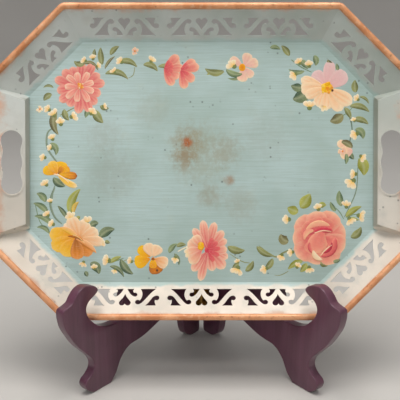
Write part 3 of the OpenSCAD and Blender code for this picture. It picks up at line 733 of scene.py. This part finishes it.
# stems: places, width, colour
STEMS = (
    (((-178, 0), (-190, 18), (-190, 36), (-183, 43)), 3.0, STEM),
    (((-181, -30), (-187, -48), (-182, -66), (-172, -76)), 3.4, STEM),
    (((-178, -22), (-183, -34), (-184, -46)), 1.6, STEM),
    (((-82, 118), (-84, 108), (-90, 104)), 1.2, OLIVE),
    (((-175, 58), (-160, 66), (-152, 70)), 1.6, OLIVE),
    (((-130, 118), (-140, 122), (-146, 119)), 1.2, OLIVE),
    (((110, 127), (122, 118), (136, 111)), 2.0, SAGE),
    (((174, 58), (180, 62), (186, 68)), 1.6, SAGE),
    (((178, 68), (184, 52), (186, 37)), 2.2, DEEP_GREEN),
    (((184, 34), (182, 22), (178, 18)), 1.6, DEEP_GREEN),
    (((193, -4), (191, -34), (182, -56), (176, -68)), 1.8, STEM),
    (((178, -68), (188, -64), (198, -64)), 1.4, SAGE),
    (((112, -106), (100, -112), (90, -116), (70, -102)), 2.6, OLIVE),
    (((108, -134), (98, -139), (90, -139)), 1.2, OLIVE),
    (((60, -124), (50, -122), (34, -112)), 1.4, OLIVE),
    (((-30, -110), (-18, -104), (-8, -102)), 2.0, CREAM),
    (((-96, -118), (-108, -122), (-122, -124)), 1.8, SAGE),
    (((-78, -124), (-90, -120), (-98, -122)), 1.4, OLIVE),
    (((-206, -48), (-200, -72), (-190, -84)), 1.4, SAGE),
    (((160, -52), (170, -60), (176, -70)), 1.6, SAGE),
)

# buds: centre, radius, direction it opens
BUDS = (
    ((-102, 126), 4.8, 150), ((-109, 114), 3.6, 130), ((-146, 127), 4.0, 150), ((-134, 131), 3.8, 100),
    ((-126, 120), 3.4, 30), ((-191, 67), 4.4, 150), ((-184, 62), 5.0, 120), ((-174, 52), 5.0, 100),
    ((-156, 58), 5.0, 20), ((-134, 64), 4.6, 60), ((-118, 70), 3.6, 10), ((-185, 33), 4.6, 110),
    ((-188, 19), 3.6, 150), ((-197, 7), 4.2, 170), ((-194, -24), 4.6, 130),
    ((119, 126), 4.6, 120), ((132, 123), 4.6, 100), ((112, 107), 5.0, 210), ((36, 122), 6.0, 140),
    ((133, 73), 6.0, 90), ((150, 67), 5.0, 250), ((187, 54), 3.2, 120), ((190, 80), 4.0, 140),
    ((187, 34), 5.2, 200), ((200, 6), 4.4, 330), ((186, -14), 4.6, 180), ((183, -27), 7.0, 230),
    ((179, -50), 4.8, 90), ((199, -66), 5.4, 350), ((185, -73), 5.2, 300), ((143, -53), 5.0, 110),
    ((103, -70), 5.4, 180), ((98, -118), 4.4, 250), ((109, -111), 4.2, 190), ((120, -126), 4.0, 60),
    ((134, -134), 5.0, 280), ((76, -132), 5.0, 200), ((44, -121), 3.0, 120), ((43, -135), 6.0, 250),
    ((-17, -110), 6.0, 170), ((-33, -121), 4.4, 260), ((-90, -121), 4.0, 160), ((-120, -120), 6.0, 170),
    ((-147, -126), 3.8, 250), ((-133, -128), 3.6, 100), ((-108, -135), 3.4, 250), ((-122, -98), 4.4, 20),
    ((-163, -65), 5.6, 110), ((-143, -70), 5.6, 100), ((-192, -62), 4.2, 130), ((-187, -74), 4.6, 150),
    ((-187, -46), 3.2, 110), ((-60, 128), 4.4, 60),
)


# small flowers: centre, petals, radius, inner and outer colour
SMALL_FLOWERS = (
    ((-82, 137), 5, 4.6, PINK, PEACH), ((174, 14), 4, 6, PINK, PEACH), ((-199, 66), 4, 4.5, PEACH, CREAM),
)

# flowers: kind, centre
FLOWERS = (
    (dahlia, (-150, 93)), (anemone, (154, 92)), (rose, (146, -93)), (daisy, (5, -108)),
    (poppy, (-154, -93)), (pansy, (-61, -118)), (marigold, (-177, -10)), (sprig, (-24, 118)),
    (half_hidden, (52, 118)), (side_flower, (188, 14)),
)


def wreath():
    """The painted wreath: stems and leaves below, buds, then the flowers."""
    paint = brush_paint()
    greenery = Strokes("painted_leaves")
    for places, width, colour in STEMS:
        stem(greenery, places, width, colour)
    for i, (root, tip, width, colour, sag) in enumerate(LEAVES):
        leaf(greenery, root, tip, width, colour, sag, 1 + i % 2)
    greenery.build(paint)

    buds = Strokes("painted_buds")
    for centre, radius, angle in BUDS:
        bud(buds, centre, radius, angle)
    for centre, petals, radius, inner, outer in SMALL_FLOWERS:
        small_flower(buds, centre, petals, radius, inner, outer)
    buds.build(paint)

    blooms = Strokes("painted_flowers")
    for kind, centre in FLOWERS:
        kind(blooms, centre)
    blooms.build(paint)


# ---------------------------------------------------------------- boards

# how far the sawn edges are rounded over, and the angle from which an edge counts as sawn
EDGE_ROUND = 2.2 * MM
SAWN = math.radians(60)


def dress(made, material):
    """Gives an object one material on every face."""
    made.data.materials.clear()
    made.data.materials.append(material)
    made.data.polygons.foreach_set("material_index", [0] * len(made.data.polygons))
    made.data.update()


def rounded_board(node, name, material):
    """The board with its sawn edges rounded over; its place and outline are the CAD board's."""
    mesh = frame["nodes"][node].data.copy()
    mesh.name = name
    shaped = bmesh.new()
    shaped.from_mesh(mesh)
    bmesh.ops.remove_doubles(shaped, verts=shaped.verts, dist=1e-6)
    bmesh.ops.dissolve_limit(shaped, angle_limit=math.radians(0.5), verts=shaped.verts,
                             edges=shaped.edges)
    sides = sorted(shaped.faces, key=lambda f: -f.calc_area())[:2]
    sharp = [e for e in shaped.edges
             if len(e.link_faces) == 2 and any(f in sides for f in e.link_faces)
             and e.calc_face_angle(0) > SAWN]
    bmesh.ops.bevel(shaped, geom=sharp, offset=EDGE_ROUND, offset_type="OFFSET", segments=4,
                    profile=0.5, affect="EDGES", clamp_overlap=True)
    for face in shaped.faces:
        face.smooth = True
    shaped.to_mesh(mesh)
    shaped.free()
    mesh.set_sharp_from_angle(angle=math.radians(35))
    made = bpy.data.objects.new(name, mesh)
    bpy.context.scene.collection.objects.link(made)
    dress(made, material)
    return made


def boards():
    """Both boards of the stand, the wood's grain turned with each."""
    along = math.pi / 2 - SPLAY
    for side, turn in (("left", along), ("right", -along)):
        made = rounded_board(f"{side}_board", f"{side}_rounded_board", board_wood(turn))
        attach(made, f"{side}_half")
        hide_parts(f"{side}_board")


def finish_nodes():
    """Materials on the CAD nodes that show as they are."""
    finishes = {"tray_paint": tray_paint(), "rim_paint": rim_paint(),
                "steel_wire": steel_wire(), "hinge_brass": aged_brass()}
    for part in frame["record"]["subparts"]:
        if part["material_slot"] in finishes:
            for slot in frame["nodes"][part["node"]].material_slots:
                slot.material = finishes[part["material_slot"]]


# ---------------------------------------------------------------- stage, light and camera

# soft lights: name, place, what it faces, size, power in watts, colour
LIGHTS = (
    ("overhead", (0.0, -0.30, 1.75), (0, 0.0, 0.25), (1.3, 0.8), 21, (1.0, 0.975, 0.94)),
    ("front_fill", (-0.9, -1.9, 1.0), (0, 0, 0.2), (1.6, 1.2), 9, (0.92, 0.97, 1.0)),
    ("right_fill", (1.7, -0.7, 0.8), (0, 0, 0.2), (1.0, 1.0), 1.5, (0.95, 0.98, 1.0)),
)
SKY_COLOUR = srgb(206, 208, 214)
SKY_STRENGTH = 0.17
TOP_STRENGTH = 0.7
TOP_ANGLE = math.radians(120)

# the camera's place in mm from the frame's origin, how far it looks down, and its lens
CAMERA_PLACE = Vector((-1.9, -828.5, 462.0))
CAMERA_PITCH = math.radians(16)
CAMERA_LENS = 63.0


def area_light(name, place, aim, size, power, colour):
    """A rectangular light that faces a point."""
    data = bpy.data.lights.new(name, "AREA")
    data.shape = "RECTANGLE"
    data.size, data.size_y = size
    data.energy = power
    data.color = colour
    made = bpy.data.objects.new(name, data)
    bpy.context.scene.collection.objects.link(made)
    made.location = place
    made.rotation_euler = (Vector(aim) - Vector(place)).to_track_quat("-Z", "Y").to_euler()


def sweep(reach=2.6, bend=1.2, height=3.0, around=96, steps=12):
    """A round floor of radius reach that curves up into a wall all round it, in metres."""
    profile = [(reach / 2, 0.0)]
    for i in range(steps + 1):
        a = math.pi / 2 * i / steps
        profile.append((reach + bend * math.sin(a), bend * (1 - math.cos(a))))
    profile.append((reach + bend, height))
    points = [(0.0, 0.0, 0.0)]
    for radius, level in profile:
        for j in range(around):
            a = 2 * math.pi * j / around
            points.append((radius * math.cos(a), radius * math.sin(a), level))
    faces = [(0, 1 + j, 1 + (j + 1) % around) for j in range(around)]
    for i in range(len(profile) - 1):
        for j in range(around):
            a, b = 1 + i * around + j, 1 + i * around + (j + 1) % around
            faces.append((a, a + around, b + around, b))
    mesh = bpy.data.meshes.new("studio_sweep")
    mesh.from_pydata(points, [], faces)
    mesh.polygons.foreach_set("use_smooth", [True] * len(faces))
    mesh.materials.append(studio_floor())
    made = bpy.data.objects.new("studio_sweep", mesh)
    bpy.context.scene.collection.objects.link(made)


def studio():
    """The sweep, a dim sky, a soft light straight from above, and the area lights."""
    sweep()
    world = bpy.data.worlds.new("studio")
    world.use_nodes = True
    sky = world.node_tree.nodes["Background"]
    sky.inputs["Color"].default_value = SKY_COLOUR
    sky.inputs["Strength"].default_value = SKY_STRENGTH
    bpy.context.scene.world = world

    top = bpy.data.lights.new("soft_top", "SUN")
    top.energy = TOP_STRENGTH
    top.angle = TOP_ANGLE
    bpy.context.scene.collection.objects.link(bpy.data.objects.new("soft_top", top))
    for light in LIGHTS:
        area_light(*light)


def camera():
    """The camera in front of the object, and colours shown as they are."""
    data = bpy.data.cameras.new("camera")
    data.lens = CAMERA_LENS
    data.sensor_width = 36.0
    made = bpy.data.objects.new("camera", data)
    bpy.context.scene.collection.objects.link(made)
    made.location = CAMERA_PLACE * MM
    made.rotation_euler = (math.pi / 2 - CAMERA_PITCH, 0, 0)
    bpy.context.scene.camera = made
    bpy.context.scene.view_settings.view_transform = "Standard"


finish_nodes()
boards()
wreath()
studio()
camera()
bpy.context.view_layer.update()
